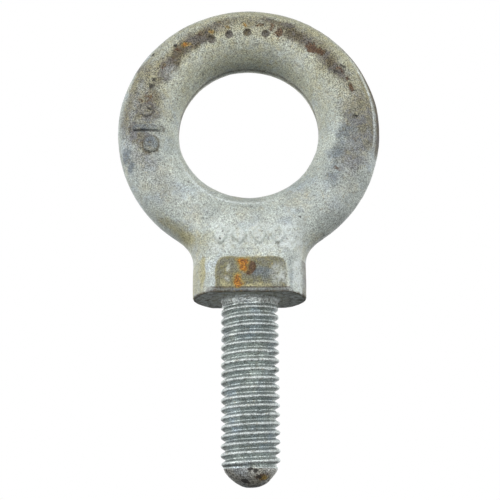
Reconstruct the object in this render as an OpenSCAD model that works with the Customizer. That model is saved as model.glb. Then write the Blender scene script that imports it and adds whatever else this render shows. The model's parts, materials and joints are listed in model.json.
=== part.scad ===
// Forged shoulder-pattern lifting eye bolt, 9/16-12 thread.
// Frame: origin on the thread axis, in the plane of the shoulder's bearing face.
// +Z runs up to the eye, +Y is the axis of the eye's hole, -Y is the marked face.

/* [Eye] */
// Radius of the circle that the ring's section is swept round
eye_sweep_r = 25.5; // [24.5:0.05:26.5]
// Radius of the ring's round section
section_r = 7.85; // [7.8:0.05:8]
// How far the trimmed parting line is set in from the round section
trim_depth = 0.1; // [0.05:0.01:0.15]
// Height of the eye's centre above the bearing face
eye_height = 43.4; // [42.9:0.05:43.9]

/* [Shoulder] */
// Radius of the round collar
collar_r = 13.75; // [13.5:0.05:14]
// Height of the collar, up to the top of the flats
collar_h = 8.5; // [8.2:0.05:8.8]
// Distance across the two flats, front to back
across_flats = 20.9; // [20.4:0.1:21.4]
// Height of the bevel under each flat
bevel_h = 0.95; // [0.6:0.05:1.2]
// How far that bevel runs in under the flat
bevel_in = 0.55; // [0.3:0.05:0.8]

/* [Neck] */
// Radius of the crown across the neck's front and back slopes
crown_r = 50; // [45:1:60]
// Radius of the hollow between the collar's sides and the ring
side_fillet = 5; // [4:0.25:6]
// Half the thickness of the web in that hollow
web_half = 2.5; // [2:0.1:3]

/* [Thread] */
// Major diameter
thread_d = 14.29; // [14.1:0.01:14.4]
// Diameter at the bottom of the thread groove
root_d = 11.9; // [11.8:0.01:12]
// Distance between neighbouring crests
pitch = 2.1167; // [2.1:0.0001:2.13]
// Number of crests
crests = 18; // [17:1:18]
// Width of the land on each crest
crest_land = 0.3; // [0.26:0.01:0.34]
// Depth of the first crest below the bearing face
first_crest = 3.3; // [3.2:0.05:3.4]
// Length of the shank from the bearing face to the end of the point
shank_length = 44.45; // [44.2:0.05:44.7]
// Diameter of the plain shank between the shoulder and the thread
plain_d = 13.5; // [13.3:0.05:13.6]
// Radius of the fillet under the shoulder
root_fillet = 0.8; // [0.6:0.05:1]
// Radius of the point's flat joint with the thread
point_r = 6.35; // [6.2:0.05:6.5]

/* [Marks] */
// Height of the raised marks above the forging
mark_h = 0.4; // [0.3:0.05:0.5]
// Number of raised pads on the front of the neck
pads = 4; // [3:1:5]
// Distance between neighbouring pads
pad_step = 4.6; // [4.4:0.1:4.8]
// Width of one pad
pad_w = 2.8; // [2.4:0.1:3]
// Length of one pad, up the slope
pad_l = 4.6; // [4:0.1:5]
// Number of punched dimples at the top of the ring
dimples = 4; // [3:1:5]
// Radius of one dimple
dimple_r = 0.9; // [0.7:0.05:1.1]
// Depth of one dimple
dimple_depth = 0.5; // [0.3:0.05:0.6]
// Angle between neighbouring dimples, round the ring
dimple_step = 11; // [9:0.5:12]
// Angle of the middle of the row from the ring's top towards +X
dimple_turn = -6; // [-10:0.5:0]
// How far the row lies inside the middle of the ring's section
dimple_inset = 1.1; // [0.5:0.1:1.5]
// Angle of the size mark's bar from the ring's top towards +X
bar_angle = -93; // [-96:0.5:-90]
// Length of the bar
bar_l = 7.6; // [7:0.1:8]
// Width of the bar
bar_w = 1; // [0.8:0.1:1.2]
// Radius of the boss on each side of the bar
boss_r = 1.9; // [1.6:0.05:2.1]
// Distance from the bar's middle to each boss's middle
boss_gap = 4.6; // [4.2:0.1:4.8]

/* [Hidden] */
$fn = 96;

hole_r = eye_sweep_r - section_r + trim_depth;
outer_r = eye_sweep_r + section_r - trim_depth;
flat_y = across_flats / 2;
thread_r = thread_d / 2;
root_r = root_d / 2;
plain_r = plain_d / 2;
flank_run = (thread_r - root_r) * tan(30);
plain_end = -first_crest + crest_land / 2 + flank_run;
thread_end = -first_crest - pitch * (crests - 1) - crest_land / 2 - flank_run;
point_h = shank_length + thread_end;
point_ball = (pow(point_r, 2) + pow(point_h, 2)) / (2 * point_h);

// The neck's slope leaves the flat's top edge and runs up to touch the ring's section.
section_z = eye_height - eye_sweep_r;
touch_angle = atan2(collar_h - section_z, flat_y)
            + acos(section_r / norm([flat_y, collar_h - section_z]));
slope_top = [section_r * cos(touch_angle), section_z + section_r * sin(touch_angle)];
slope_tilt = atan2(flat_y - slope_top[0], slope_top[1] - collar_h);
slope_foot = flat_y + collar_h * tan(slope_tilt);
crown_axis = crown_r - flat_y;

// The hollow at each side touches both the collar's side and the ring's outside.
hollow_x = collar_r + side_fillet;
hollow_z = eye_height - sqrt(pow(outer_r + side_fillet, 2) - pow(hollow_x, 2));

forged = [0.62, 0.64, 0.60];
plated = [0.54, 0.57, 0.57];
worn = [0.40, 0.39, 0.36];

// Ring section grown by extra, with its two trimmed lands when extra is 0.
module ring(extra = 0) {
    translate([0, 0, eye_height])
        rotate([90, 0, 0])
            rotate_extrude()
                intersection() {
                    translate([eye_sweep_r, 0]) circle(section_r + extra);
                    translate([hole_r - extra, -section_r - extra])
                        square([outer_r - hole_r + 2 * extra, 2 * (section_r + extra)]);
                }
}

// Places children on the ring's front, turned by angle from the ring's top towards +X.
module on_ring(angle, inset = 0) {
    translate([0, 0, eye_height])
        rotate([0, angle, 0])
            translate([0, -section_r, eye_sweep_r - inset])
                children();
}

module eye_ring() {
    color(forged)
        difference() {
            ring();
            for (i = [0 : dimples - 1])
                on_ring(dimple_turn + (i - (dimples - 1) / 2) * dimple_step, dimple_inset)
                    rotate([90, 0, 0]) cylinder(r = dimple_r, h = 2 * dimple_depth, center = true);
        }
}

// The forging between the bearing face and the ring: a round bar with crowned slopes, front and back.
module waist(from_z, to_z) {
    intersection() {
        translate([0, 0, from_z]) cylinder(r = collar_r, h = to_z - from_z);
        slopes();
    }
}

// Two crowned cones whose common part has the neck's front and back slopes.
module slopes() {
    intersection_for (side = [-1, 1])
        translate([0, -side * crown_axis, 0])
            rotate_extrude()
                polygon([[0, 0], [crown_axis + slope_foot, 0], [crown_axis + slope_top[0], slope_top[1]],
                         [0, slope_top[1]]]);
}

// Front view of the web that fills the hollow beside the neck, up to where it touches the ring.
module web_outline() {
    touch = outer_r / (outer_r + side_fillet);
    touch_x = hollow_x * touch;
    touch_z = eye_height - (eye_height - hollow_z) * touch;
    difference() {
        translate([-touch_x, hollow_z]) square([2 * touch_x, touch_z - hollow_z]);
        for (side = [-1, 1]) translate([side * hollow_x, hollow_z]) circle(side_fillet);
    }
}

module neck() {
    color(forged)
        difference() {
            union() {
                waist(collar_h, slope_top[1]);
                rotate([90, 0, 0]) translate([0, 0, -web_half]) linear_extrude(2 * web_half) web_outline();
            }
            ring();
            translate([0, 0, eye_height]) rotate([90, 0, 0])
                cylinder(r = eye_sweep_r, h = 2 * collar_r, center = true);
        }
}

// Half section of the plain shank under the shoulder, with its fillet.
module plain_section() {
    translate([0, plain_end]) square([plain_r, -plain_end]);
    difference() {
        translate([0, -root_fillet]) square([plain_r + root_fillet, root_fillet]);
        translate([plain_r + root_fillet, -root_fillet]) circle(root_fillet);
    }
}

// Side view of the collar: two flats, each with a bevel at its foot.
module collar_side() {
    polygon([[-flat_y, collar_h], [-flat_y, bevel_h], [-flat_y + bevel_in, 0],
             [flat_y - bevel_in, 0], [flat_y, bevel_h], [flat_y, collar_h]]);
}

module shoulder_collar() {
    color(forged) {
        intersection() {
            waist(0, collar_h);
            rotate([90, 0, 90]) translate([0, 0, -collar_r - 1])
                linear_extrude(2 * collar_r + 2) collar_side();
        }
        rotate_extrude() plain_section();
    }
}

// Each crest is a true ring at the thread's pitch, so its lands are exact cylinders.
module thread() {
    color(plated)
        rotate_extrude()
            polygon([
                [0, plain_end],
                for (i = [0 : crests - 1])
                    let (z = -first_crest - pitch * i)
                        each [
                            [root_r, z + crest_land / 2 + flank_run], [thread_r, z + crest_land / 2],
                            [thread_r, z - crest_land / 2], [root_r, z - crest_land / 2 - flank_run]
                        ],
                [0, thread_end]
            ]);
}

module point() {
    color(worn)
        intersection() {
            translate([0, 0, -shank_length + point_ball]) sphere(point_ball);
            translate([0, 0, -shank_length]) cylinder(r = point_r + 1, h = point_h);
        }
}

// Plain raised pads in a row across the front slope of the neck, each turned to lie on its crown.
module front_mark() {
    middle = ([flat_y, collar_h] + slope_top) / 2;
    color(forged)
        for (i = [0 : pads - 1])
            translate([0, crown_axis, middle[1]])
                rotate([0, 0, asin((i - (pads - 1) / 2) * pad_step / crown_r)])
                    translate([0, -crown_axis - middle[0], 0])
                        rotate([90 - slope_tilt, 0, 0])
                            linear_extrude(mark_h)
                                intersection() {
                                    square([pad_w, pad_l], center = true);
                                    rotate(45) square((pad_w + pad_l) / 2 * 0.94, center = true);
                                }
}

// A raised bar with a round boss on each side of it, on the left of the ring.
module size_mark() {
    color(forged)
        difference() {
            intersection() {
                on_ring(bar_angle)
                    rotate([90, 0, 0])
                        linear_extrude(2 * section_r, center = true) {
                            square([bar_w, bar_l], center = true);
                            for (side = [-1, 1]) translate([side * boss_gap, 0]) circle(boss_r);
                        }
                ring(mark_h);
            }
            ring();
        }
}

eye_ring();
neck();
shoulder_collar();
thread();
point();
front_mark();
size_mark();
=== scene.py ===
# The looks of a forged lifting eye bolt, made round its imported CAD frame.
# Shapes are worked out in millimetres in the CAD's own frame, and written in metres.
import json
import math
from itertools import product
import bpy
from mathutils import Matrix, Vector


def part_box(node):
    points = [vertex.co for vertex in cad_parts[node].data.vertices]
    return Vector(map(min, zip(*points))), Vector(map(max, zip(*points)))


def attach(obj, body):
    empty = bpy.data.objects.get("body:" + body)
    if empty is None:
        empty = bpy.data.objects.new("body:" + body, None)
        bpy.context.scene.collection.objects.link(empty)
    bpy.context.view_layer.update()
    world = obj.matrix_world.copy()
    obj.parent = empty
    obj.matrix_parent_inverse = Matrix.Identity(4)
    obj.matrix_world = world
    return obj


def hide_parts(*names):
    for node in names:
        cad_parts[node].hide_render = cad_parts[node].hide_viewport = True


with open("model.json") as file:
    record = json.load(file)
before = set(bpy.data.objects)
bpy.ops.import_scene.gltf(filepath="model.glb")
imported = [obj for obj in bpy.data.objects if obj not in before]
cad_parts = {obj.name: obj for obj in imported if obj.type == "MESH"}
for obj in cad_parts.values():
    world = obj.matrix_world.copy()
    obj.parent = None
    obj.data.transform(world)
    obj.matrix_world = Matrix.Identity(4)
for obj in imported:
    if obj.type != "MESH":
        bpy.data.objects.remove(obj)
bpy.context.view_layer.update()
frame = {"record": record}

from types import SimpleNamespace

import bmesh
import bpy
import numpy as np
from mathutils import Matrix, Vector

MM = 0.001


# ------------ sizes, from the frame

def span(node):
    """A CAD node's lowest and highest corners, in millimetres."""
    low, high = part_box(node)
    return np.array(low) / MM, np.array(high) / MM


MOUNTS = {mount["name"]: mount for mount in frame["record"]["mounts"]}

RING_LOW, RING_HIGH = span("eye_ring")
EYE_Z = (RING_LOW[2] + RING_HIGH[2]) / 2
RING_OUTER = (RING_HIGH[0] - RING_LOW[0]) / 2
HOLE_R = MOUNTS["eye"]["dims"]["r_mm"]
SWEEP_R = (RING_OUTER + HOLE_R) / 2
SECTION_R = (RING_HIGH[1] - RING_LOW[1]) / 2

COLLAR_LOW, COLLAR_HIGH = span("shoulder_collar")
COLLAR_R = (COLLAR_HIGH[0] - COLLAR_LOW[0]) / 2
COLLAR_H = COLLAR_HIGH[2]
FLAT_Y = COLLAR_HIGH[1]
PLAIN_END = COLLAR_LOW[2]
PLAIN_R = 6.75  # radius of the short plain shank under the collar
BEVEL_H = 0.95  # height of the bevel under each flat
BEVEL_IN = 0.55  # how far that bevel goes in

WAIST_TOP = 20.0  # the neck's slopes end inside the ring's section
SLOPE = 0.25  # how fast the neck narrows, front and back, as it rises
CROWN_R = 350.0  # radius of the slopes' crown, from side to side
NECK_TOP = 19.8  # where the neck's piece meets the eye's

RING_TO_NECK = 4.5  # widths of the soft joins between surfaces
BAR_TO_SLOPE = 1.5
WAIST_END = 3.0
RING_TRIM = 0.12
FLAT_EDGE = 0.35
BEVEL_EDGE = 0.2
SHANK_TO_COLLAR = 1.1
PUNCH_EDGE = 0.12
PIT_EDGE = 0.3

THREAD_R = MOUNTS["thread"]["dims"]["r_mm"]
ROOT_R = 5.95
PITCH = 2.1167
FLANK_ANGLE = 30  # between a thread's flank and level ground, in degrees
CREST_LAND = 0.46  # the crest's land before its edges are rounded over
FIRST_CREST = -3.3  # height of the first crest on the left of the shank
RUN_IN = (-0.9, -3.9)  # the heights between which the thread reaches its full depth
END_BLEND = 0.9  # the height over which the thread narrows to the point
CHAMFER_OUT = 0.25  # how far outside the point's ball the last threads may stand
THREAD_END = span("thread")[0][2]
TIP_Z = span("point")[0][2]
POINT_R = (span("point")[1][0] - span("point")[0][0]) / 2
POINT_H = THREAD_END - TIP_Z
POINT_BALL = (POINT_R ** 2 + POINT_H ** 2) / (2 * POINT_H)


# ------------ distance fields

def smooth_min(a, b, width):
    """The lower of two distances, rounded over where they are within width of each other."""
    h = np.clip(0.5 + 0.5 * (b - a) / width, 0, 1)
    return b + (a - b) * h - width * h * (1 - h)


def smooth_max(a, b, width):
    return -smooth_min(-a, -b, width)


def ease(low, high, value):
    """Goes smoothly from 0 to 1 as value goes from low to high."""
    t = np.clip((value - low) / (high - low), 0, 1)
    return t * t * (3 - 2 * t)


def between(value, start, full, fade, end):
    """0 before start, 1 from full to fade, and 0 again after end; the four may also fall."""
    return ease(start, full, value) * ease(end, fade, value)


def unit(vectors):
    """Vectors scaled to a length of 1."""
    return vectors / np.linalg.norm(vectors, axis=-1, keepdims=True)


def on_ring(angle, lean, lift=0.0):
    """A point on the ring: angle from its top towards +X, lean from its front towards its outside."""
    a, b = math.radians(angle), math.radians(lean)
    radius = SECTION_R + lift
    reach = SWEEP_R + radius * math.sin(b)
    return np.array([reach * math.sin(a), -radius * math.cos(b), EYE_Z + reach * math.cos(a)])


def ring_distance(x, y, z):
    reach = np.hypot(x, z - EYE_Z)
    tube = np.hypot(reach - SWEEP_R, y) - SECTION_R
    outside = smooth_max(tube, reach - RING_OUTER, RING_TRIM)
    return smooth_max(outside, HOLE_R - reach, RING_TRIM)


def waist_distance(x, y, z):
    """The collar and neck: a round bar whose front and back narrow as it rises."""
    bar = np.hypot(x, y) - COLLAR_R
    depth = FLAT_Y + SLOPE * (COLLAR_H - z) - x * x / (2 * CROWN_R)
    slopes = (np.abs(y) - depth) / math.hypot(1, SLOPE)
    return smooth_max(smooth_max(bar, slopes, BAR_TO_SLOPE), z - WAIST_TOP, WAIST_END)


def thread_radius(turn, z):
    """The rolled thread's radius at an angle (radians) and height: a right-hand helix that fades in."""
    phase = (z - FIRST_CREST) / PITCH - (turn - math.pi) / (2 * math.pi)
    off_crest = np.abs(phase - np.round(phase)) * PITCH
    flank = THREAD_R - (off_crest - CREST_LAND / 2) / math.tan(math.radians(FLANK_ANGLE))
    full = smooth_min(smooth_max(flank, ROOT_R, 0.15), THREAD_R, 0.5)
    started = ease(*RUN_IN, z)
    below_ball = np.minimum(z - TIP_Z - POINT_BALL, 0)
    chamfer = np.sqrt(POINT_BALL ** 2 - below_ball ** 2) + CHAMFER_OUT
    radius = smooth_min(PLAIN_R + started * (full - PLAIN_R), chamfer, 0.3)
    ended = ease(THREAD_END + END_BLEND, THREAD_END, z)
    return radius + ended * (POINT_R - radius)


PUNCH_R = 1.05  # radius of the ball that leaves each punch mark
PUNCHED = [on_ring(-6 + 11 * step, -8, 0.45) for step in (-1.5, -0.5, 0.5, 1.5)]
PITS = [
    (on_ring(87, 6), 0.9), (on_ring(-81, -2), 0.6), (on_ring(-42, 18), 0.8), (on_ring(-31, 26), 0.5),
    (on_ring(100, 35), 0.5), (on_ring(38, 10), 0.7), (on_ring(60, 12), 0.6), (on_ring(24, 14), 0.6),
    (on_ring(-57, 30), 0.6), (on_ring(-104, 50), 0.6),
]
PIT_DEPTH = 0.6  # a pit's radius, as a share of its size


def gap_to(centre, x, y, z):
    """How far each place is from a centre."""
    return np.sqrt((x - centre[0]) ** 2 + (y - centre[1]) ** 2 + (z - centre[2]) ** 2)


def forging(x, y, z):
    """The whole forging above the thread, with its flats, bevels, punch marks and pits."""
    body = smooth_min(ring_distance(x, y, z), waist_distance(x, y, z), RING_TO_NECK)
    side = np.abs(y)
    body = smooth_max(body, side - FLAT_Y, FLAT_EDGE)
    body = smooth_max(body, -z, FLAT_EDGE)
    bevel_l = math.hypot(BEVEL_H, BEVEL_IN)
    bevel = (side - FLAT_Y) * BEVEL_H / bevel_l - (z - BEVEL_H) * BEVEL_IN / bevel_l
    body = smooth_max(body, bevel, BEVEL_EDGE)
    shank = np.hypot(x, y) - thread_radius(np.arctan2(y, x), np.clip(z, PLAIN_END - 2, 0))
    body = smooth_min(body, smooth_max(shank, z - COLLAR_H, 1.0), SHANK_TO_COLLAR)
    for centre in PUNCHED:
        body = smooth_max(body, PUNCH_R - gap_to(centre, x, y, z), PUNCH_EDGE)
    for centre, size in PITS:
        body = smooth_max(body, size * PIT_DEPTH - gap_to(centre, x, y, z), PIT_EDGE)
    return body


# ------------ noise in space

def lattice_noise(points, size, seed):
    """Smooth noise from -1 to 1, with features about size millimetres across."""
    table = np.random.default_rng(seed).uniform(-1, 1, 4096)
    place = points / size
    cell = np.floor(place).astype(np.int64)
    part = place - cell
    part = part * part * (3 - 2 * part)
    total = np.zeros(len(points))
    for corner in product((0, 1), repeat=3):
        c = cell + corner
        slot = (c[:, 0] * 73856093 ^ c[:, 1] * 19349663 ^ c[:, 2] * 83492791) % len(table)
        total += table[slot] * np.prod(np.where(corner, part, 1 - part), axis=1)
    return total


def unevenness(points):
    """How far the forged skin stands proud, in millimetres: waves, dents and a rough grain."""
    swell = 0.11 * lattice_noise(points, 13, 1) + 0.06 * lattice_noise(points, 5, 2)
    grain = 0.035 * lattice_noise(points, 1.6, 3) + 0.02 * lattice_noise(points, 0.8, 4)
    on_face = ease(0.5, 0.1, points[:, 2])
    on_shank = ease(-0.6, -1.8, points[:, 2])
    return (swell * (1 - 0.8 * on_face) + grain) * (1 - on_shank) + die_line(points)


def ring_place(points):
    """Each point's angle from the ring's top towards +X and its lean from front or back to outside."""
    x, y, z = points.T
    reach = np.hypot(x, z - EYE_Z)
    lean = np.degrees(np.arctan2(reach - SWEEP_R, np.abs(y)))
    return np.degrees(np.arctan2(x, z - EYE_Z)), lean


def die_line(points):
    """Faint raised lines that the dies left on the ring's right shoulder and round the hole's foot."""
    turn, lean = ring_place(points)
    shoulder = np.exp(-((lean - 49) / 2.2) ** 2) * between(turn, 50, 62, 92, 108)
    foot = np.exp(-((lean - foot_lean(turn)) / 3.0) ** 2) * foot_share(turn)
    return (0.09 * shoulder + 0.10 * foot) * (points[:, 2] > 15)


def foot_share(turn):
    """How clearly that land shows: fully at the lower left, fading past the bottom."""
    return np.maximum(ease(-100, -125, turn), ease(152, 178, turn))


def foot_lean(turn):
    """Where the trimmed land round the hole's foot begins, as a lean, at each angle round the ring."""
    return -54 + 18 * ease(105, 162, np.abs(turn))


# ------------ meshes from fields

def gradient(field, points, reach=0.02):
    """The field's slope at each point, measured over reach millimetres to both sides."""
    steps = np.eye(3) * reach
    return np.stack([field(*(points + s).T) - field(*(points - s).T) for s in steps], 1) / (2 * reach)


def settle(field, points, rounds):
    """Moves points on to the field's zero level."""
    for _ in range(rounds):
        slope = gradient(field, points)
        length = np.maximum((slope ** 2).sum(1), 0.05)
        points = points - (field(*points.T) / length)[:, None] * slope
    return points


def surface_net(field, low, high, step):
    """Quads round the field's zero level, with one vertex in each grid cell that it crosses."""
    axes = [np.arange(a, b + step, step) for a, b in zip(low, high)]
    inside = field(*np.meshgrid(*axes, indexing="ij")) < 0
    cells = [len(a) - 1 for a in axes]
    held = sum(inside[i:i + cells[0], j:j + cells[1], k:k + cells[2]].astype(int)
               for i, j, k in product((0, 1), repeat=3))
    crossed = (held > 0) & (held < 8)
    index = np.full(crossed.shape, -1)
    index[crossed] = np.arange(crossed.sum())
    points = np.stack([axes[a][w] for a, w in enumerate(np.nonzero(crossed))], 1) + step / 2
    quads = []
    for axis in range(3):
        start = tuple(slice(0, cells[a]) if a == axis else slice(1, cells[a]) for a in range(3))
        end = tuple(slice(1, cells[a] + 1) if a == axis else slice(1, cells[a]) for a in range(3))
        found = np.stack(np.nonzero(inside[start] != inside[end]), 1)
        across, up = (axis + 1) % 3, (axis + 2) % 3
        loop = []
        for right, above in ((0, 0), (1, 0), (1, 1), (0, 1)):
            cell = found.copy()
            cell[:, across] += right
            cell[:, up] += above
            loop.append(index[tuple(cell.T)])
        loop = np.stack(loop, 1)
        outward = inside[start][tuple(found.T)]
        quads.append(np.where(outward[:, None], loop, loop[:, ::-1]))
    return points, np.concatenate(quads)


def relax(field, points, quads, rounds):
    """Evens out the quads while the points stay on the field's zero level."""
    here, there = quads.ravel(), np.roll(quads, -1, axis=1).ravel()
    ends, others = np.concatenate([here, there]), np.concatenate([there, here])
    count = np.maximum(np.bincount(ends, minlength=len(points)), 1)
    for _ in range(rounds):
        mean = np.stack([np.bincount(ends, points[others, a], len(points)) / count for a in range(3)], 1)
        points = settle(field, points + 0.6 * (mean - points), 1)
    return points


def cut_flat(mesh, height, keep_above):
    """Cuts an open mesh at a height, drops one side and closes the cut with a face."""
    normal = Vector((0, 0, -1 if keep_above else 1))
    everything = mesh.verts[:] + mesh.edges[:] + mesh.faces[:]
    bmesh.ops.bisect_plane(mesh, geom=everything, plane_co=(0, 0, height), plane_no=normal,
                           clear_outer=True, dist=1e-6)
    rim = [e for e in mesh.edges if e.is_boundary and all(abs(v.co.z - height) < 1e-4 for v in e.verts)]
    bmesh.ops.holes_fill(mesh, edges=rim, sides=0)


def forged_mesh(name, low, high, step, floor, ceiling):
    """A closed piece of the forging between two heights, its normals running on into its neighbours."""
    points, quads = surface_net(forging, low, high, step)
    points = settle(forging, points, 3)
    points = relax(forging, points, quads, 4)
    mesh = new_mesh(name, points, quads.tolist())
    work = bmesh.new()
    work.from_mesh(mesh)
    bmesh.ops.remove_doubles(work, verts=work.verts, dist=0.03)
    cut_flat(work, floor, keep_above=True)
    if ceiling is not None:
        cut_flat(work, ceiling, keep_above=False)
    work.to_mesh(mesh)
    work.free()

    points = read_points(mesh)
    normals = unit(gradient(forging, points))
    return finish_skin(mesh, points, normals, unevenness)


def new_mesh(name, points, faces):
    mesh = bpy.data.meshes.new(name)
    mesh.from_pydata(points.tolist(), [], faces)
    return mesh


def read_points(mesh):
    flat = np.empty(len(mesh.vertices) * 3, np.float64)
    mesh.vertices.foreach_get("co", flat)
    return flat.reshape(-1, 3)


CAP_CORNERS = 6  # a face with this many corners or more closes a cut, and is shaded flat


def finish_skin(mesh, points, normals, relief):
    """Lifts the skin by its relief, turns the normals to suit, and writes the mesh in metres."""
    reach = 0.12
    steps = np.eye(3) * reach
    slope = np.stack([relief(points + s) - relief(points - s) for s in steps], 1) / (2 * reach)
    slope -= (slope * normals).sum(1)[:, None] * normals
    lifted = points + relief(points)[:, None] * normals
    normals = unit(normals - slope)
    mesh.vertices.foreach_set("co", (lifted * MM).ravel())
    mesh.update()
    corner_vertex = np.empty(len(mesh.loops), np.int64)
    mesh.loops.foreach_get("vertex_index", corner_vertex)
    loops = normals[corner_vertex]
    for face in mesh.polygons:
        face.use_smooth = True
        if len(face.vertices) >= CAP_CORNERS:
            loops[list(face.loop_indices)] = face.normal
    mesh.normals_split_custom_set(loops.tolist())
    return points


# ------------ thread and point

# Knocks in the crests, each as an angle from +X in degrees, a height and a size.
NICKS = [(-48, -12.9, 0.8), (-44, -17.2, 0.9), (5, -20.8, 0.5), (185, -9.5, 0.5), (-70, -27.4, 0.6),
         (-115, -33.5, 0.5), (-80, -14.8, 0.4), (176, -25.2, 0.45), (40, -30.0, 0.6), (100, -18.0, 0.6)]


def thread_wear(turn, z):
    """How much the crests are knocked down, in millimetres."""
    wear = np.zeros_like(z)
    for angle, height, size in NICKS:
        gap = np.angle(np.exp(1j * (turn - math.radians(angle)))) * THREAD_R
        wear += 0.7 * size * np.exp(-((gap / (1.3 * size)) ** 2 + ((z - height) / size) ** 2))
    return wear


def helix_grid(steps, rows):
    """Points whose rows follow the helix from below the thread's end to above its start."""
    turn = np.linspace(0, 2 * math.pi, steps, endpoint=False)
    turns = int((PLAIN_END - THREAD_END) / PITCH) + 3
    level = np.arange(-rows, turns * rows + 1) / rows * PITCH + THREAD_END
    height = level[:, None] + (turn[None, :] / (2 * math.pi)) * PITCH
    return np.broadcast_to(turn, height.shape), np.clip(height, THREAD_END, PLAIN_END)


def thread_mesh(name):
    """The rolled thread, closed at both ends."""
    steps, rows = 144, 14  # points round each turn, and rows to each pitch
    turn, z = helix_grid(steps, rows)
    count = turn.shape[0]
    faces = []
    for r in range(count - 1):
        for s in range(steps):
            if s + 1 < steps:
                quad = (r * steps + s, r * steps + s + 1, (r + 1) * steps + s + 1, (r + 1) * steps + s)
            elif r + rows + 1 < count:
                quad = (r * steps + s, (r + rows) * steps, (r + rows + 1) * steps, (r + 1) * steps + s)
            else:
                continue
            if len({round(float(z.flat[i]), 6) for i in quad}) > 1:
                faces.append(quad)

    def place(angle, height):
        radius = thread_radius(angle, height) - thread_wear(angle, height)
        return np.stack([radius * np.cos(angle), radius * np.sin(angle), height], -1)

    small = 1e-3
    points = place(turn, z)
    along = place(turn + small, z) - place(turn - small, z)
    up = place(turn, z + small) - place(turn, z - small)
    normals = unit(np.cross(along, up))
    mesh = new_mesh(name, points.reshape(-1, 3), faces)
    return close_ends(mesh, points.reshape(-1, 3), normals.reshape(-1, 3))


def close_ends(mesh, points, normals):
    """Joins doubled points, closes both ends with a face, and keeps the smooth normals."""
    work = bmesh.new()
    work.from_mesh(mesh)
    old = work.verts.layers.int.new("old")
    for vert in work.verts:
        vert[old] = vert.index
    bmesh.ops.remove_doubles(work, verts=work.verts, dist=1e-4)
    bmesh.ops.delete(work, geom=[v for v in work.verts if not v.link_faces], context="VERTS")
    bmesh.ops.holes_fill(work, edges=[e for e in work.edges if e.is_boundary], sides=0)
    bmesh.ops.recalc_face_normals(work, faces=work.faces)
    kept = np.array([v[old] for v in work.verts])
    work.verts.layers.int.remove(old)
    work.to_mesh(mesh)
    work.free()
    return finish_skin(mesh, points[kept], normals[kept], shank_relief)


def shank_relief(points):
    """How far the thread's skin stands proud: a faint roughness."""
    return 0.03 * lattice_noise(points, 2.5, 11) + 0.02 * lattice_noise(points, 0.9, 12)


def point_mesh(name):
    """The domed point: rings from its joint with the thread down to the tip."""
    steps, rings = 120, 40
    turn = np.linspace(0, 2 * math.pi, steps, endpoint=False)
    widest = math.asin(min(1.0, POINT_R / POINT_BALL))
    points = []
    for r in range(rings):
        angle = widest * (1 - r / rings)
        radius = POINT_BALL * math.sin(angle)
        height = TIP_Z + POINT_BALL * (1 - math.cos(angle))
        points += [[radius * math.cos(t), radius * math.sin(t), height] for t in turn]
    points.append([0.0, 0.0, TIP_Z])
    faces = []
    for r in range(rings - 1):
        for s in range(steps):
            after = (s + 1) % steps
            a, b = r * steps, (r + 1) * steps
            faces.append([a + s, b + s, b + after, a + after])
    last = (rings - 1) * steps
    faces += [[last + s, len(points) - 1, last + (s + 1) % steps] for s in range(steps)]
    faces.append(list(range(steps)))
    points = np.array(points)
    normals = unit(points - (0, 0, TIP_Z + POINT_BALL))
    mesh = new_mesh(name, points, faces)
    return mesh, finish_skin(mesh, points, normals, point_relief)


def point_relief(points):
    """How far the point's skin stands proud: rough all over, and worn down at the front left."""
    hammered = 0.09 * lattice_noise(points, 2.2, 21) + 0.06 * lattice_noise(points, 1.0, 22)
    worn_side = ease(4.5, 0.0, np.linalg.norm(points - (-3.8, -2.0, -44.0), axis=1))
    return (hammered - 0.4 * worn_side) * ease(THREAD_END, THREAD_END - 0.8, points[:, 2])


# ------------ raised marks

def outline(angle, half_w, half_l, power):
    """Radius of a rounded outline: power 2 is an ellipse, less is a lozenge, more is a bar."""
    across, along = np.abs(np.cos(angle) / half_w), np.abs(np.sin(angle) / half_l)
    return (across ** power + along ** power) ** (-1 / power)


MARK_SUNK = 0.06  # how far a mark's edge lies under the skin
MARK_ROOT = 0.5  # how deep a mark's closed underside lies
RIGHTWARD = np.array([1.0, 0.0, 0.0])


def raised_mark(centre, half_w, half_l, power, height, dish):
    """Points and faces of one soft-edged raised shape that grows out of the forging's skin."""
    steps, rings = 56, 12
    centre = settle(forging, np.array([centre], float), 4)[0]
    normal = unit(gradient(forging, centre[None])[0])
    across = unit(RIGHTWARD - (RIGHTWARD @ normal) * normal)
    up = np.cross(normal, across)
    turn = np.linspace(0, 2 * math.pi, steps, endpoint=False)
    share = np.linspace(1, 0, rings, endpoint=False)
    reach = share[:, None] * outline(turn, half_w, half_l, power)[None, :]
    outward = np.cos(turn)[None, :, None] * across + np.sin(turn)[None, :, None] * up
    flat = centre + reach[..., None] * outward
    flat = np.concatenate([flat.reshape(-1, 3), centre[None]])
    share = np.concatenate([np.repeat(share, steps), [0.0]])
    skin = settle(forging, flat, 4)
    normals = unit(gradient(forging, skin))
    lift = height * (1 - ease(0.70, 1.0, share) - dish * ease(0.5, 0.15, share)) - MARK_SUNK
    lift = lift + unevenness(skin)
    top = skin + normals * lift[:, None]
    base = skin - normals * MARK_ROOT
    faces = []
    for layer, flip in ((0, False), (len(flat), True)):
        for r in range(rings - 1):
            for s in range(steps):
                a, b = layer + r * steps + s, layer + r * steps + (s + 1) % steps
                quad = [a, b, b + steps, a + steps]
                faces.append(quad[::-1] if flip else quad)
        last = layer + (rings - 1) * steps
        for s in range(steps):
            tri = [last + s, last + (s + 1) % steps, layer + len(flat) - 1]
            faces.append(tri[::-1] if flip else tri)
    for s in range(steps):
        after = (s + 1) % steps
        faces.append([s, len(flat) + s, len(flat) + after, after])
    return np.concatenate([top, base]), faces


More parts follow.
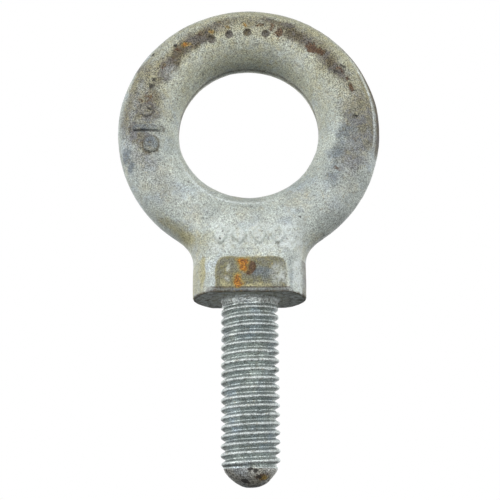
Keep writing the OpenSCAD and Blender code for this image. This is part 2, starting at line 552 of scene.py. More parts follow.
def marks_mesh(name, marks):
    """One mesh of several raised marks."""
    points, faces = [], []
    for mark in marks:
        more, quads = raised_mark(*mark)
        offset = sum(len(p) for p in points)
        faces += [[i + offset for i in quad] for quad in quads]
        points.append(more)
    points = np.concatenate(points)
    mesh = new_mesh(name, points * MM, faces)
    mesh.update()
    for face in mesh.polygons:
        face.use_smooth = True
    return mesh, points


# Each mark is given as centre, half width, half length, power, height and dish.
FRONT_MARKS = [((x, -9.0, 13.9), 1.85, 2.6, 1.3, 0.85, 0.0) for x in (-6.9, -2.3, 2.3, 6.9)]
BAR_ANGLE = -93
BOSS_TURN = 10.3  # degrees round the ring from the bar to each boss
SIZE_MARKS = [
    (on_ring(BAR_ANGLE, -1), 4.2, 0.85, 5.0, 0.80, 0.0),
    (on_ring(BAR_ANGLE + BOSS_TURN, 0), 1.8, 1.8, 2.0, 0.55, 0.4),
    (on_ring(BAR_ANGLE - BOSS_TURN, -5), 2.0, 2.3, 2.4, 0.75, 0.4),
]


# ------------ materials

class Graph:
    """A node tree, with short calls for the nodes used here."""

    def __init__(self, tree):
        self.tree = tree
        self.coordinates = self.new("TexCoord").outputs

    def new(self, kind, inputs=None):
        node = self.tree.nodes.new("ShaderNode" + kind)
        self.fill(node, inputs or {})
        return node

    def fill(self, node, inputs):
        """Gives a node's inputs their values: constants, or other nodes' outputs."""
        for name, value in inputs.items():
            if isinstance(value, bpy.types.NodeSocket):
                self.tree.links.new(value, node.inputs[name])
            else:
                node.inputs[name].default_value = value

    def noise(self, size, detail, roughness, offset=(0, 0, 0)):
        """Noise with features about size millimetres across."""
        shift = self.new("VectorMath")
        shift.operation = "ADD"
        self.fill(shift, {0: self.coordinates["Object"], 1: offset})
        texture = self.new("TexNoise", {"Vector": shift.outputs[0], "Scale": 1 / (size * MM)})
        self.fill(texture, {"Detail": detail, "Roughness": roughness})
        return texture.outputs["Fac"]

    def ramp(self, value, low, high, to_low=0.0, to_high=1.0):
        """Goes smoothly from to_low to to_high as the value goes from low to high."""
        node = self.new("MapRange")
        node.interpolation_type = "SMOOTHSTEP"
        self.fill(node, {"Value": value, "From Min": low, "From Max": high})
        self.fill(node, {"To Min": to_low, "To Max": to_high})
        return node.outputs["Result"]

    def math(self, kind, a, b, clamp=False):
        node = self.new("Math")
        node.operation = kind
        node.use_clamp = clamp
        self.fill(node, {0: a, 1: b})
        return node.outputs[0]

    def mix(self, share, a, b, kind="MIX"):
        node = self.new("Mix")
        node.data_type = "RGBA"
        node.blend_type = kind
        self.fill(node, {"Factor": share, 6: a, 7: b})
        return node.outputs[2]

    def attribute(self, name):
        node = self.new("Attribute")
        node.attribute_name = name
        return node.outputs["Fac"]

    def patches(self, name, size, offset, low, high, most, ragged=1.1):
        """A painted attribute as ragged patches: none below low, and most from high upwards."""
        centred = self.math("SUBTRACT", self.noise(size, 5, 0.75, offset), 0.5)
        edge = self.math("MULTIPLY", centred, ragged)
        return self.ramp(self.math("ADD", self.attribute(name), edge), low, high, 0.0, most)

    def bump(self, height, depth, under=None):
        """Raises the surface by height times depth millimetres, for shading only."""
        node = self.new("Bump", {"Strength": 1.0, "Distance": depth * MM, "Height": height})
        if under is not None:
            self.fill(node, {"Normal": under})
        return node.outputs["Normal"]


def srgb(*seen):
    """A colour given as seen on screen, from 0 to 255, as the linear values that a socket takes."""
    return (*(((value / 255 + 0.055) / 1.055) ** 2.4 for value in seen), 1.0)


WARM_ZINC = srgb(206, 200, 172)
COOL_ZINC = srgb(184, 198, 212)
# pale zinc, for rubbed places and for painted highlights
RUBBED_ZINC_AND_HIGHLIGHT = srgb(224, 232, 230)
DULL_BLUE = srgb(108, 120, 130)
YELLOWED = srgb(187, 182, 142)
RUST_FRINGE = srgb(168, 144, 78)
PEPPER = srgb(92, 90, 84)
BLACKENED = srgb(48, 46, 43)
TARNISH_AND_SHADE_TONES = srgb(120, 115, 98), srgb(116, 115, 118)
STAIN_TONES = srgb(128, 125, 88), srgb(124, 124, 108)
SOOT_AND_SHADE_TONES = srgb(90, 80, 63), srgb(102, 97, 94)
BROWN_TONES = srgb(80, 52, 33), srgb(108, 80, 57)
ORANGE_TONES = srgb(132, 80, 36), srgb(202, 138, 48)


def clean_zinc(g, pale, mid, warmth):
    """Mottled zinc, warmer and cooler in patches."""
    colour = g.mix(g.ramp(g.noise(9, 4, 0.6), 0.38, 0.62), mid, pale)
    warm = g.ramp(g.noise(5, 4, 0.6, (0.03, 0, 0)), 0.47, 0.70, 0.0, warmth)
    colour = g.mix(warm, colour, WARM_ZINC)
    cool = g.ramp(g.noise(6, 4, 0.6, (0, 0.05, 0)), 0.48, 0.70, 0.0, 0.50)
    return g.mix(cool, colour, COOL_ZINC)


def lay_films(g, colour):
    """Lays tarnish, stains and soot over a colour, with painted shade laid in the tarnish, cool and soot
    layers. Returns the colour and the share of soot and painted shade.
    """
    mottle = g.ramp(g.noise(1.6, 4, 0.7, (0, 0.02, 0)), 0.40, 0.58)
    purple = g.ramp(g.noise(2.6, 4, 0.7, (0.01, 0.03, 0)), 0.44, 0.56)
    tarnish_and_shade = g.patches("tarnish_and_shade", 1.6, (0, 0, 0.04), 0.06, 0.95, 0.90, 1.0)
    colour = g.mix(tarnish_and_shade, colour, g.mix(purple, *TARNISH_AND_SHADE_TONES))
    stain = g.patches("stain", 1.8, (0.02, 0, 0.04), 0.10, 0.60, 0.90)
    colour = g.mix(stain, colour, g.mix(mottle, *STAIN_TONES))
    # the cool layer also carries one strip of painted shade on the collar
    cool = g.patches("cool", 1.5, (0, 0.01, 0.04), 0.20, 1.15, 0.80)
    colour = g.mix(cool, colour, DULL_BLUE)
    yellow = g.patches("yellow", 1.4, (0.02, 0.06, 0), 0.10, 1.00, 0.90)
    colour = g.mix(yellow, colour, YELLOWED)
    soot_and_shade = g.patches("soot_and_shade", 1.0, (0.04, 0.02, 0), 0.16, 0.80, 0.85, 1.25)
    return g.mix(soot_and_shade, colour, g.mix(purple, *SOOT_AND_SHADE_TONES)), soot_and_shade


def lay_rust(g, colour):
    """Lays brown crust and orange rust over a colour. Returns the colour and the share they cover."""
    brown = g.patches("brown", 1.0, (0.05, 0, 0), 0.24, 0.50, 0.90, 1.5)
    ochre = g.ramp(g.noise(0.7, 3, 0.7, (0.02, 0, 0)), 0.40, 0.60)
    colour = g.mix(brown, colour, g.mix(ochre, *BROWN_TONES))
    fringe = g.patches("rust", 1.3, (0, 0.05, 0.01), 0.04, 0.36, 0.75)
    colour = g.mix(fringe, colour, RUST_FRINGE)
    orange = g.patches("rust", 1.3, (0, 0.05, 0.01), 0.34, 0.58, 0.95)
    colour = g.mix(orange, colour, g.mix(ochre, *ORANGE_TONES))
    return colour, g.math("MAXIMUM", orange, brown)


def lay_grain(g, colour, fine, speckle, worn):
    """A salt and pepper grain: stronger where grit is painted, fainter where the zinc is rubbed and where
    highlights are painted.
    """
    gentle = g.ramp(fine, 0.28, 0.72, 1 - speckle, 1 + 0.7 * speckle)
    strong = g.ramp(fine, 0.37, 0.63, 1 - 1.35 * speckle, 1 + 0.8 * speckle)
    grit = g.mix(g.attribute("grit"), gentle, strong)
    grained = g.mix(1.0, colour, grit, "MULTIPLY")
    colour = g.mix(g.ramp(worn, 0.0, 1.0, 1.0, 0.45), colour, grained)
    pepper = g.ramp(g.noise(0.9, 3, 0.75, (0.02, 0.01, 0)), 0.42, 0.32, 0.0, 0.60)
    return g.mix(pepper, colour, PEPPER)


def galvanised(name, pale, mid, warmth, metallic, rough, grain, speckle, relief):
    """Weathered zinc on steel: mottled, with a salt and pepper grain, dirt where it is painted, and painted
    highlights and painted shade.
    """
    material = bpy.data.materials.new(name)
    material.use_nodes = True
    g = Graph(material.node_tree)
    colour, soot_and_shade = lay_films(g, clean_zinc(g, pale, mid, warmth))
    # the worn layer holds rubbed zinc and painted highlights
    worn = g.math("MULTIPLY", g.attribute("worn"), g.ramp(g.noise(1.3, 3, 0.6), 0.35, 0.6, 0.3, 1.0))
    colour, rust = lay_rust(g, g.mix(worn, colour, RUBBED_ZINC_AND_HIGHLIGHT))
    fine = g.noise(grain, 2, 0.7)
    colour = lay_grain(g, colour, fine, speckle, worn)
    black = g.patches("black", 0.9, (0.01, 0.05, 0), 0.30, 0.52, 0.92, 0.8)
    looks = {"Base Color": g.mix(black, colour, BLACKENED)}

    covered = g.math("MAXIMUM", rust, g.math("MAXIMUM", soot_and_shade, black))
    covered = g.math("MAXIMUM", covered, g.math("MULTIPLY", worn, 0.6))
    looks["Metallic"] = g.ramp(covered, 0.0, 1.0, metallic, 0.0)
    roughness = g.ramp(g.noise(1.4, 3, 0.6), 0.3, 0.7, rough - 0.06, rough + 0.08)
    looks["Roughness"] = g.math("ADD", roughness, g.math("MULTIPLY", covered, 0.25), clamp=True)
    coarse = g.bump(g.noise(1.0, 3, 0.6), 0.11 * relief)
    looks["Normal"] = g.bump(fine, 0.08 * relief, coarse)
    g.fill(material.node_tree.nodes["Principled BSDF"], looks)
    return material


def paint(mesh, name, values):
    """Writes one value from 0 to 1 at each vertex, for a material to read by name."""
    layer = mesh.attributes.new(name, "FLOAT", "POINT")
    layer.data.foreach_set("value", np.clip(values, 0, 1).astype(np.float32))


def blotches(points, placed):
    """How much the placed spots cover: each its strength at its centre, falling to 0 at its radius."""
    total = np.zeros(len(points))
    for centre, radius, strength in placed:
        gap = np.linalg.norm(points - centre, axis=1)
        total = np.maximum(total, strength * ease(radius, 0.0, gap))
    return total


def on_flat(x, z):
    return x, -FLAT_Y, z


def on_crest(angle, height):
    turn = math.radians(angle)
    return THREAD_R * math.cos(turn), THREAD_R * math.sin(turn), height


def on_neck(x, z):
    return settle(forging, np.array([(x, -8.5, z)]), 4)[0]


def spots(place, *rows):
    """Spots, each given as the two numbers that place() takes, a radius and a strength."""
    return [(place(a, b), radius, strength) for a, b, radius, strength in rows]


# The spots of each kind; the broad bands and the lines come further down.
RUST = (
    spots(on_ring, (-37, 4, 1.7, 0.9), (-12, 9, 1.0, 0.6), (-2, 8, 1.0, 0.6), (-21, 8, 1.0, 0.5))
    + spots(on_flat, (-1.8, 7.0, 2.4, 1.05), (-1.2, 5.2, 1.9, 1.0), (-2.9, 2.5, 2.2, 1.0),
        (-2.0, 2.5, 1.2, 0.7))
    + [((3.8, -4.0, -42.3), 2.0, 0.75), ((2.4, -4.5, -42.8), 1.6, 0.6)]
)
BROWN = (
    spots(on_ring, (18, 0, 2.4, 0.6), (38.6, 1, 2.8, 1.0), (43, 5, 2.6, 0.7), (6, 9, 2.0, 0.5),
        (70, 15, 2.0, 0.8), (65, 12, 1.6, 0.7), (-28, 10, 2.2, 0.4), (-42, 8, 2.6, 0.4),
        (-75, 6, 5.0, 0.35), (119, -6, 2.2, 0.5), (-48, 4, 4.0, 0.30), (-55, 0, 4.0, 0.28),
        (58, 12, 3.5, 0.35), (77, 25, 3.0, 0.3), (13, 8, 2.6, 0.5))
    + spots(on_flat, (0.3, 5.9, 2.9, 1.1), (1.4, 5.2, 1.8, 0.8))
    + [((3.0, -4.2, -42.4), 2.6, 0.9), ((-8, -9, 0), 4, 0.3)]
)
BLACK = (
    spots(on_ring, (-42, 18, 1.3, 0.9), (-52, 42, 1.1, 0.9), (-81, -1, 0.8, 0.9), (-103, 10, 1.5, 0.4),
        (57, 25, 1.8, 0.6), (59, 0, 2.2, 0.5), (-79, -83, 0.9, 0.9), (87, 6, 1.2, 0.9),
        (-68, 0, 2.2, 0.6), (-64, 3, 2.0, 0.5))
    + spots(on_neck, (-6.4, 14.2, 0.8, 0.8), (-6.1, 12.1, 0.7, 0.8), (-1.4, 14.8, 0.7, 0.7),
        (3.4, 11.2, 0.7, 0.8), (7.6, 14.8, 0.7, 0.8), (-2.9, 20.2, 0.8, 0.8),
        (0.9, 19.6, 0.7, 0.8), (-1.7, 16.8, 0.7, 0.7), (11.9, 18.3, 0.8, 0.7),
        (-9.9, 17.6, 0.7, 0.7))
    + spots(on_crest, (-58, -13.0, 0.8, 1.0), (-52, -13.9, 0.6, 0.9), (-64, -37.6, 0.8, 0.9),
        (-155, -40.0, 1.8, 1.0), (-140, -40.3, 1.2, 0.9), (-88, -9.4, 0.5, 0.7),
        (-112, -24.9, 0.6, 0.6))
    + [((-0.9, -4.0, -43.1), 1.7, 1.0), ((1.1, -6.0, -40.7), 1.7, 0.9), ((-0.6, -6.3, -40.5), 1.3, 0.8),
       ((2.3, -4.8, -42.2), 1.3, 0.9), ((-5.6, -3.0, -40.6), 1.6, 0.8), ((-2.8, -6.0, -40.4), 1.1, 0.6)]
)
TARNISH = spots(
    on_ring,
    (85, 4, 7.0, 0.55), (96, -10, 5.5, 0.3), (109, -21, 4.5, 0.4), (125, -5, 4.5, 0.3),
    (-96, 14, 4.0, 0.5), (34, 10, 5.0, 0.9), (41, 8, 5.0, 0.9), (48, 6, 5.0, 0.9),
    (-82, -12, 6.0, 0.6), (-62, 42, 5.0, 0.8), (-40, -3, 4.0, 0.6), (-16, 19, 3.5, 0.5),
    (1, 24, 3.0, 0.6), (24, 12, 4.0, 0.5), (31, 8, 4.5, 0.8), (112, -8, 7.0, 0.35))
COOL = (
    spots(on_ring, (-65, 38, 4.0, 0.6), (85, 2, 6.5, 0.6), (96, -10, 6.0, 0.9), (104, -16, 5.0, 0.8),
        (110, -21, 4.5, 0.9), (117, -15, 4.5, 0.8), (125, -6, 4.5, 0.8), (100, 8, 5.0, 0.5),
        (-105, 50, 3.2, 1.2), (-111, 48, 2.8, 1.2), (-103, -4, 4.0, 1.0), (24, -4, 4.5, 0.7),
        (-92, 0, 4.5, 0.7), (57, 2, 4.0, 0.8), (48, 10, 5.0, 0.5))
    + spots(on_flat, (3.2, 4.6, 3.2, 1.3), (-0.5, 2.6, 2.0, 0.6))
)
# Pale spots. On the flat and the crests they are rubbed zinc; on the ring, the neck and the collar's right
# side they are painted light.
WEAR_AND_HIGHLIGHTS = (
    spots(on_flat, (-5.2, 5.4, 0.9, 1.1), (-5.6, 3.3, 1.1, 0.9), (6.9, 3.9, 3.6, 0.8), (2.7, 6.3, 1.0, 1.0))
    # painted light: brighter patches on the ring's inside and lower right
    + spots(on_ring, (133, 38, 8.0, 0.5), (27, -31, 5.0, 0.5), (38, -36, 4.5, 0.5), (-36, -32, 4.0, 0.4),
        (-56, -13, 3.5, 0.5))
    # painted light on the neck's right side
    + spots(on_neck, (11.5, 13, 7.0, 0.9))
    # painted highlight on the collar's right side
    + [((11.6, -7.0, 4.0), 4.5, 0.6)]
    + spots(on_crest, (-49, -12.6, 1.6, 1.3), (-42, -15.1, 1.4, 1.2), (-42, -17.2, 1.5, 1.3),
        (-50, -28.2, 1.0, 1.0))
)


def band(value, middle, width):
    """1 where a value is at the middle of a band, fading on both sides."""
    return np.exp(-((value - middle) / width) ** 2)


class Skin:
    """A mesh's points and their places, exact and drifted so that dirt gets ragged edges."""

    def __init__(self, points):
        self.points = points
        self.side, self.out, self.up = points[:, 0], np.abs(points[:, 1]), points[:, 2]
        self.from_axis = np.hypot(self.side, points[:, 1])
        self.drift = np.stack([lattice_noise(points, 2.2, seed) for seed in (31, 32, 33)], 1)
        self.ragged = points + 1.1 * self.drift
        self.turn, self.lean = ring_place(self.ragged)
        self.exact_turn, self.exact_lean = ring_place(points)
        self.from_top = np.abs(self.turn)
        self.leftward = ease(10, -60, self.turn)
        self.on_eye = ease(11, 15, self.up)
        self.bands = ring_bands(self)
        self.lines = ring_lines(self)
        self.crown = crown_band(self)
        self.collar = collar_parts(self)


def ring_bands(skin):
    """The broad bands of dirt on the ring and neck, by name: about 1 in the middle, fading to 0."""
    turn, lean, from_top, leftward = skin.turn, skin.lean, skin.from_top, skin.leftward
    x, y, _ = skin.ragged.T
    to_side = ease(45, 85, from_top)
    face = 0.85 * band(lean, 10 + (10 - 7 * leftward) * to_side, 17 + (15 + 9 * leftward) * to_side)
    return SimpleNamespace(
        face=face * ease(150, 100, from_top),
        outer_top=ease(22, 38, lean) * ease(100, 60, from_top),
        hole_top=ease(-58, -78, lean) * ease(60, 20, from_top),
        upper=ease(25, 60, skin.up),
        right_outer=band(lean, 48, 24) * between(turn, 60, 80, 94, 110),
        right_haze=band(lean, 25, 20) * between(turn, 98, 108, 122, 135),
        left_outer=band(lean, 42, 12) * between(turn, -32, -52, -86, -102),
        left_low=band(lean, 58, 18) * between(turn, -126, -142, -164, -178),
        left_neck=band(lean, 4, 24) * between(turn, -118, -134, -144, -166),
        neck_middle=band(skin.up, 18.5, 3.0) * ease(13, 8, np.abs(x)) * (y < 0),
    )


def ring_lines(skin):
    """The narrow lines on the ring, by name: lines of dirt, and painted shadows beside the right die line
    and inside the top of the hole.
    """
    turn, lean = skin.turn, skin.exact_lean
    outside = ease(56, 60, lean) * between(turn, 25, 40, 92, 112)
    return SimpleNamespace(
        outside=outside * ease(0.5, -3.0, skin.ragged[:, 1] + skin.drift[:, 0]),
        # painted shadow on the dark side of the right die line
        right=band(lean, 42, 2.6) * between(turn, 58, 66, 92, 104),
        left=band(lean, 40, 2.0) * between(turn, -52, -62, -84, -98),
        foot_land=ease(4, -3, lean - foot_lean(skin.exact_turn)) * foot_share(skin.exact_turn),
        # painted shadow inside the top of the hole
        hole_rim_shadow=ease(-77, -90, lean) * ease(112, 92, skin.from_top),
    )


def crown_band(skin):
    """The blotchy dark band over the ring's top. It parts at the very top, where it runs farther out."""
    lean, from_top, leftward = skin.lean, skin.from_top, skin.leftward
    middle = 6 - 4 * leftward - 9 * ease(-35, -75, skin.turn)
    crown = band(lean, middle, 16 - 2 * leftward)
    crown *= ease(74 + 12 * leftward, 54 + 6 * leftward, from_top)
    crown *= ease(10, 28, from_top)
    crown += 0.8 * band(lean, 20, 10) * ease(30, 14, from_top)
    return crown * (0.9 + 0.7 * lattice_noise(skin.points, 6, 41))


PANEL_X = 0.3  # middle of the dull panel on each flat
PANEL_HALF = 5.8  # from there to where the panel's rounded corners start
PANEL_TOP = 5.8  # height at which they start
PANEL_CORNER = 2.6  # radius of the corners


def collar_parts(skin):
    """The collar's parts and the shank just below them, by name: 1 on each."""
    x, y, z = skin.ragged.T
    side, up = skin.side, skin.up
    facing = (skin.out > FLAT_Y - 0.35) * (up > BEVEL_H)
    steady = skin.points + 0.22 * skin.drift
    past_side = np.maximum(np.abs(steady[:, 0] - PANEL_X) - PANEL_HALF, 0)
    corner = np.hypot(past_side, np.maximum(steady[:, 2] - PANEL_TOP, 0))
    flat = facing * ease(PANEL_CORNER + 0.15, PANEL_CORNER - 0.25, corner)
    return SimpleNamespace(
        flat=flat,
        flat_left=flat * ease(3, 0, x),
        flat_rim=facing * band(corner, PANEL_CORNER, 0.35),
        hem=ease(2.8, 1.2, z) * ease(7, 4, np.abs(x + 0.5)) * flat,
        hem_line=band(up, BEVEL_H + 0.1, 0.28) * (skin.out > FLAT_Y - 0.5),
        bevel=(skin.out > FLAT_Y - 1.2) & (up < BEVEL_H + 0.15) & (up > -0.1),
        front=(y < 0) * ease(10, 7, z) * (z > 0.3),
        # the upward-facing neck slope, painted paler as painted light
        slope=between(z, 9, 11, 15, 19) * ease(11, 8, np.abs(x)) * (y < 0),
        # a thin yellowish vertical line down the collar's left side
        seam=band(side + 0.4 * skin.drift[:, 0], -11.2, 0.5) * (y < 0) * (z < COLLAR_H) * (z > 0),
        # painted shade where the collar's right side turns away
        shaded_right_end=ease(11.2, 12.8, side) * (up < COLLAR_H) * (up > 0),
        low_edge=band(up, 0.2, 0.35) * (skin.from_axis > PLAIN_R + 3),
        underside=(np.abs(up) < 0.12) & (skin.from_axis > PLAIN_R),
        shank=ease(-2.6, -1.2, up) * (up < 0.05) * (skin.from_axis < PLAIN_R + 0.9),
    )


# How much of each kind of dirt or wear, painted highlight and painted shade lies at each vertex.

def tarnish_and_shade_share(skin):
    bands, lines, collar = skin.bands, skin.lines, skin.collar
    ring_part = 0.75 * bands.face + 0.4 * bands.right_outer + 0.45 * bands.left_outer
    ring_part += 0.1 * bands.left_low + 0.6 * skin.crown * skin.leftward + blotches(skin.ragged, TARNISH)
    # lines.right is a painted shadow beside the right die line
    ring_part += 1.2 * lines.outside + 0.6 * lines.right + 0.22 * lines.foot_land
    neck_part = 0.33 * bands.left_neck + 0.25 * bands.neck_middle
    # the collar's right end is darkened as painted shade
    collar_part = 0.6 * collar.flat + 0.4 * collar.flat_left + 0.5 * collar.bevel + 0.7 * collar.shaded_right_end
    return ring_part * skin.on_eye + neck_part + collar_part


def yellow_share(skin):
    bands, collar = skin.bands, skin.collar
    x, _, z = skin.ragged.T
    ring_part = 0.15 * bands.outer_top + 0.55 * bands.upper
    ring_part *= ease(80, 40, skin.exact_lean) * (1 - 0.25 * bands.hole_top)
    ring_part *= 1 - 0.25 * skin.leftward * ease(8, 28, skin.lean)
    ring_part += 0.7 * bands.left_low
    neck_part = 0.4 * between(z, 17, 14, 11, 8) + 0.15 * skin.lines.foot_land
    collar_part = 0.8 * collar.hem + 0.25 * collar.flat_left + 0.4 * collar.flat_rim + 0.55 * collar.seam
    collar_part += 0.7 * collar.underside + 0.6 * ease(-10.5, -12, x) * collar.front
    return ring_part * skin.on_eye + neck_part + collar_part


def soot_and_shade_share(skin):
    lines, collar = skin.lines, skin.collar
    # the soot layer also carries painted shade: the shadow inside the top of the hole and beside the right
    # die line
    ring_part = 0.8 * (1 + 0.25 * skin.leftward) * skin.crown + 0.6 * lines.hole_rim_shadow
    ring_part += 0.65 * lines.outside + 0.45 * lines.right + 0.3 * lines.left
    # painted shade in and round each punch mark
    punch_shade = sum(ease(1.35, 1.0, gap_to(centre, *skin.points.T)) for centre in PUNCHED)
    collar_part = 0.7 * collar.hem_line + 0.5 * collar.low_edge + 0.45 * (collar.underside + collar.shank)
    return ring_part * skin.on_eye + 0.9 * punch_shade + mark_feet(skin.points) + collar_part


def cool_and_shade_share(skin):
    ring_part = 0.3 * skin.bands.right_haze + 0.35 * skin.bands.right_outer
    # painted shade: a blue-grey strip where the collar's right side curves round from the flat
    shade_streak = 0.65 * band(skin.ragged[:, 0], 9.9, 1.2) * skin.collar.front
    return ring_part * skin.on_eye + shade_streak + 0.45 * on_bar(skin.points) + blotches(skin.ragged, COOL)


def worn_share(skin):
    x, collar = skin.ragged[:, 0], skin.collar
    # painted highlights: pale vertical streaks down the collar's right and left sides
    highlight_streaks = (1.2 * band(x, 11.6, 0.8) + 0.2 * band(x, -9.6, 0.9)) * collar.front
    specks = 1.1 * collar.shank * ease(0.1, 0.5, lattice_noise(skin.points, 0.8, 51))
    ridges = 16 * die_line(skin.points) + crest_wear_and_highlight(skin.points)
    # collar.slope is painted paler: painted light on the neck slope that faces up
    return blotches(skin.ragged, WEAR_AND_HIGHLIGHTS) + ridges + highlight_streaks + 0.75 * collar.slope + specks


def grit_share(skin):
    ring_part = (0.6 * skin.bands.upper + 0.5 * skin.bands.face) * ease(-35, -10, skin.exact_lean)
    collar_part = 0.25 * skin.collar.flat + 0.3 * skin.collar.shank
    return ring_part * skin.on_eye + collar_part + 0.9 * (skin.up < 0)


def paint_dirt_and_painted_light(mesh, points):
    """Paints each kind of dirt and wear on a mesh, with the painted highlights and painted shade."""
    skin = Skin(points)
    paint(mesh, "tarnish_and_shade", tarnish_and_shade_share(skin))
    paint(mesh, "stain", 0.75 * skin.collar.flat + 0.95 * skin.collar.underside)
    paint(mesh, "yellow", yellow_share(skin))
    paint(mesh, "soot_and_shade", soot_and_shade_share(skin))
    paint(mesh, "rust", blotches(skin.ragged, RUST))
    paint(mesh, "brown", blotches(skin.ragged, BROWN))
    paint(mesh, "black", blotches(skin.ragged, BLACK))
    paint(mesh, "cool", cool_and_shade_share(skin))
    paint(mesh, "worn", worn_share(skin))
    paint(mesh, "grit", grit_share(skin))


def crest_wear_and_highlight(points):
    """How far the thread's crests are painted pale: rubbed zinc with a painted highlight."""
    radius = np.hypot(points[:, 0], points[:, 1])
    return 0.8 * ease(THREAD_R - 0.45, THREAD_R - 0.1, radius) * (points[:, 2] < 0)


MARK_REACH = 4.0  # how far behind or before a mark's centre its own dirt may lie


def on_bar(points):
    """1 on the raised bar at the ring's left, whose zinc is dull and dark."""
    centre, half_w, half_l, _, _, _ = SIZE_MARKS[0]
    side, deep, rise = np.abs(points - centre).T
    return ((side < half_w + 0.2) & (rise < half_l + 0.2) & (deep < MARK_REACH)).astype(float)


def mark_feet(points):
    """How dark the foot of each raised mark is painted, grime and painted shade together: most round the
    ones on the ring's side.
    """
    total = np.zeros(len(points))
    # how dark each foot is painted: grime and painted shade
    darkness = [0.3] * len(FRONT_MARKS) + [0.65] * len(SIZE_MARKS)
    for (centre, half_w, half_l, power, _, _), most in zip(FRONT_MARKS + SIZE_MARKS, darkness):
        side, deep, rise = (points - centre).T
        share = np.hypot(side, rise) / outline(np.arctan2(rise, side), half_w, half_l, power)
        total = np.maximum(total, most * band(share, 1.0, 0.16) * (np.abs(deep) < MARK_REACH))
    return total


FORGED = galvanised("forged_zinc", pale=srgb(209, 217, 210), mid=srgb(187, 195, 190), warmth=0.35,
                    metallic=0.25, rough=0.55, grain=0.29, speckle=0.56, relief=1.0)
THREAD = galvanised("thread_zinc", pale=srgb(200, 209, 206), mid=srgb(172, 181, 180), warmth=0.08,
                    metallic=0.78, rough=0.33, grain=0.30, speckle=0.46, relief=1.0)
POINT = galvanised("point_zinc", pale=srgb(218, 220, 216), mid=srgb(166, 165, 158), warmth=0.35,
                   metallic=0.40, rough=0.45, grain=0.36, speckle=0.55, relief=1.3)


# ------------ pieces

def add_object(name, data):
    thing = bpy.data.objects.new(name, data)
    bpy.context.scene.collection.objects.link(thing)
    return thing


def add_piece(mesh, points, node, material):
    """Shows a mesh in place of a CAD node, with its material, dirt, painted highlights and shade, and slot.
    """
    piece = add_object(mesh.name, mesh)
    mesh.materials.append(material)
    paint_dirt_and_painted_light(mesh, points)
    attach(piece, "root")
    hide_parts(node)


def forged_piece(node, half_x, half_y, step, floor, ceiling):
    """Shows the forging between two heights in place of a CAD node; no ceiling means up to its top."""
    mesh_name = node + "_forged"
    margin = 4 * step
    top = EYE_Z + half_x if ceiling is None else ceiling + margin
    low = np.array([-half_x, -half_y, floor - margin])
    high = np.array([half_x, half_y, top])
    points = forged_mesh(mesh_name, low, high, step, floor, ceiling)
    add_piece(bpy.data.meshes[mesh_name], points, node, FORGED)


def rolled_shank(mesh):
    """Gives the plain shank under the shoulder the thread's material."""
    mesh.materials.append(THREAD)
    for face in mesh.polygons:
        middle = face.center / MM
        if middle.z < -0.3 and math.hypot(middle.x, middle.y) < PLAIN_R + 0.6:
            face.material_index = 1


def make_pieces():
    forged_piece("eye_ring", RING_OUTER + 1.5, 9.5, 0.38, NECK_TOP, None)
    forged_piece("neck", 27.0, 12.5, 0.34, COLLAR_H, NECK_TOP)
    forged_piece("shoulder_collar", 15.5, 12.5, 0.27, PLAIN_END, COLLAR_H)
    rolled_shank(bpy.data.meshes["shoulder_collar_forged"])
    points = thread_mesh("thread_rolled")
    add_piece(bpy.data.meshes["thread_rolled"], points, "thread", THREAD)
    mesh, points = point_mesh("point_domed")
    add_piece(mesh, points, "point", POINT)
    mesh, points = marks_mesh("front_pads", FRONT_MARKS)
    add_piece(mesh, points, "front_mark", FORGED)
    mesh, points = marks_mesh("size_bar", SIZE_MARKS)
    add_piece(mesh, points, "size_mark", FORGED)


# ------------ camera, light and stage

CAMERA_PLACE = (-0.48 * MM, -231.5 * MM, -48.2 * MM)
CAMERA_RISE = 0.2572  # how far the camera looks up, in radians
CAMERA_ROLL = -0.355  # and in degrees, how far it leans over and turns aside
CAMERA_PAN = 0.155
LENS = 69.71
SENSOR = 36.0


def make_camera():
    data = bpy.data.cameras.new("camera")
    data.lens = LENS
    data.sensor_width = SENSOR
    data.clip_start = 0.005
    camera = add_object("camera", data)
    camera.location = CAMERA_PLACE
    pan = Matrix.Rotation(math.radians(-CAMERA_PAN), 4, "Z")
    rise = Matrix.Rotation(math.radians(90) + CAMERA_RISE, 4, "X")
    roll = Matrix.Rotation(math.radians(CAMERA_ROLL), 4, "Z")
    camera.rotation_euler = (pan @ rise @ roll).to_euler()
    bpy.context.scene.camera = camera


LIGHTS_AIM = (0, 0, 0.02)


def area_light(name, place, size, power):
    """A rectangular light turned towards the eye, with its place and size in metres."""
    data = bpy.data.lights.new(name, "AREA")
    data.shape = "RECTANGLE"
    data.size, data.size_y = size
    data.energy = power
    light = add_object(name, data)
    light.location = place
    light.rotation_euler = (Vector(LIGHTS_AIM) - Vector(place)).to_track_quat("-Z", "Y").to_euler()


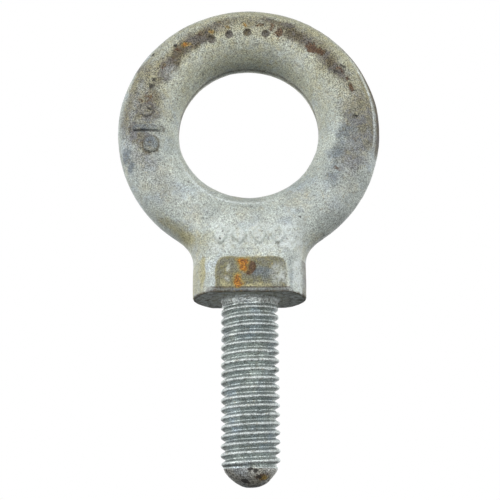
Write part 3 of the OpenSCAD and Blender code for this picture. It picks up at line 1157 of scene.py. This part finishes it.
def make_lights():
    area_light("key", (0.06, -0.79, 0.12), (0.90, 0.50), 1.7)
    area_light("left_fill", (-0.60, -0.25, 0.02), (0.20, 0.35), 0.9)
    area_light("right_fill", (0.55, -0.45, 0.05), (0.12, 0.5), 0.4)
    area_light("back_fill", (0.0, 0.80, 0.12), (0.90, 0.50), 0.9)


def make_world():
    """White to the camera. Everything else sees an even pale room with a dim ground."""
    world = bpy.data.worlds.new("studio")
    bpy.context.scene.world = world
    world.use_nodes = True
    world.node_tree.nodes.clear()
    g = Graph(world.node_tree)
    split = g.new("SeparateXYZ", {0: g.coordinates["Generated"]})
    height = g.new("MapRange", {"Value": split.outputs["Z"], "From Min": -1})
    shade = g.new("ValToRGB", {"Fac": height.outputs["Result"]})
    shade.color_ramp.interpolation = "EASE"
    stops = [(0.32, 0.06), (0.46, 1.0), (0.58, 0.98), (1.0, 0.45)]
    while len(shade.color_ramp.elements) < len(stops):
        shade.color_ramp.elements.new(0.5)
    for element, (place, level) in zip(shade.color_ramp.elements, stops):
        element.position = place
        element.color = (level, level, level, 1)
    room = g.new("Background", {"Color": shade.outputs["Color"], "Strength": 1.12})
    white = g.new("Background", {"Color": (1, 1, 1, 1)})
    to_camera = g.new("LightPath").outputs["Is Camera Ray"]
    pick = g.new("MixShader", {0: to_camera, 1: room.outputs[0], 2: white.outputs[0]})
    g.new("OutputWorld", {"Surface": pick.outputs[0]})


def make_floor():
    """A plain pale floor under the bolt. It throws no light back up, so the underside stays dark."""
    half, height = 1.6, -56 * MM
    corners = [(x * half, y * half, height) for x, y in ((-1, -1), (1, -1), (1, 1), (-1, 1))]
    mesh = new_mesh("floor", np.array(corners), [(0, 1, 2, 3)])
    floor = add_object("floor", mesh)
    material = bpy.data.materials.new("floor")
    material.use_nodes = True
    shader = material.node_tree.nodes["Principled BSDF"]
    shader.inputs["Base Color"].default_value = (0.10, 0.10, 0.10, 1)
    shader.inputs["Roughness"].default_value = 1.0
    shader.inputs["Emission Color"].default_value = (1, 1, 0.99, 1)
    shader.inputs["Emission Strength"].default_value = 0.84
    mesh.materials.append(material)
    floor.visible_diffuse = False
    floor.visible_glossy = False
    floor.visible_shadow = False


make_camera()
make_lights()
make_world()
make_floor()
make_pieces()
bpy.context.scene.view_settings.view_transform = "Standard"
